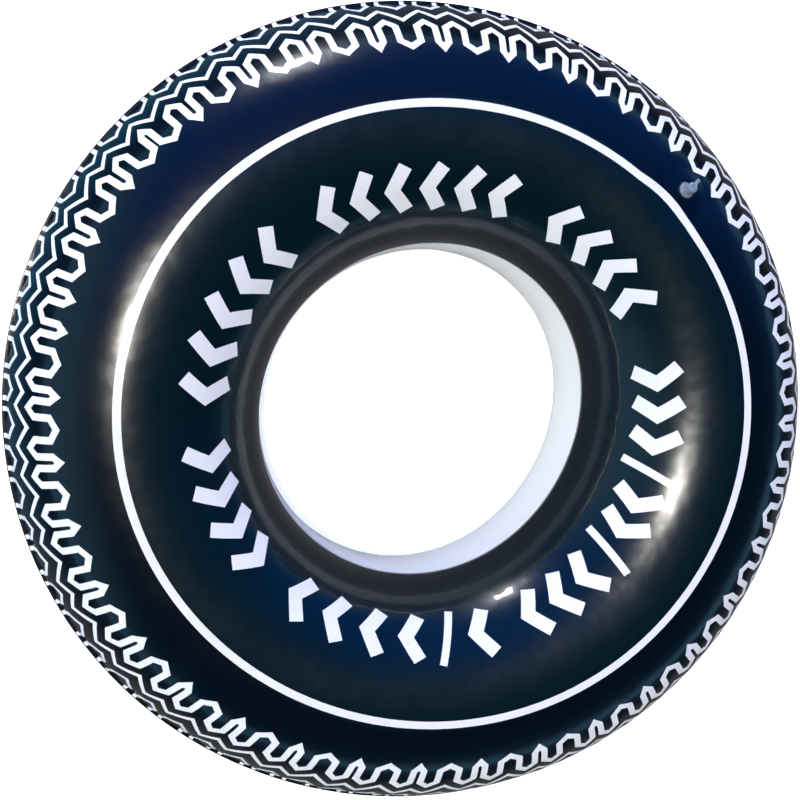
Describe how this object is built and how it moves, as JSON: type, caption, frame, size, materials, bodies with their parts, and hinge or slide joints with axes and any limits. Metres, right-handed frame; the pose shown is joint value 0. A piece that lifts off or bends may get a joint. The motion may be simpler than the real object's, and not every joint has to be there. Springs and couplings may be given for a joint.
{
  "type": "inflatable swim ring",
  "caption": "Inflatable swim ring printed like a car tyre, black above and white below, with a push-in air valve and tethered plug.",
  "frame": {"origin": "on the floor at the middle of the hole, with the ring lying flat", "axes": "+Z along the ring's axis, out of its printed black side; +X and +Y across the ring, with the valve 42 degrees from +X towards +Y"},
  "size_m": [0.914, 0.914, 0.2366],
  "materials": {
    "black_vinyl": "calendered PVC film, high gloss, white screen print",
    "white_vinyl": "calendered PVC film, high gloss",
    "clear_vinyl": "soft moulded PVC, clear"
  },
  "bodies": {
    "tube": {"top_sheet": "black_vinyl", "bottom_sheet": "white_vinyl", "valve_flange": "clear_vinyl", "valve_collar": "clear_vinyl"},
    "stem": {"valve_stem": "clear_vinyl"},
    "plug": {"valve_plug": "clear_vinyl", "plug_strap": "clear_vinyl"},
    "flap": {"check_flap": "clear_vinyl"}
  },
  "joints": [
    {"name": "stem_press", "type": "slide", "parent": "tube", "child": "stem", "axis": [-0.2468, -0.2223, -0.9432], "range_m": [0, 0.009], "deforming": ["valve_collar"]},
    {"name": "plug_swing", "type": "hinge", "parent": "stem", "child": "plug", "pos_m": [0.28332, 0.2551, 0.22948], "axis": [-0.6691, 0.7431, 0], "range_deg": [0, 160]},
    {"name": "flap_fold", "type": "hinge", "parent": "stem", "child": "flap", "pos_m": [0.26874, 0.24197, 0.22525], "axis": [-0.6691, 0.7431, 0], "range_deg": [0, 50], "stiffness_Nm_per_rad": 0.00002}
  ]
}
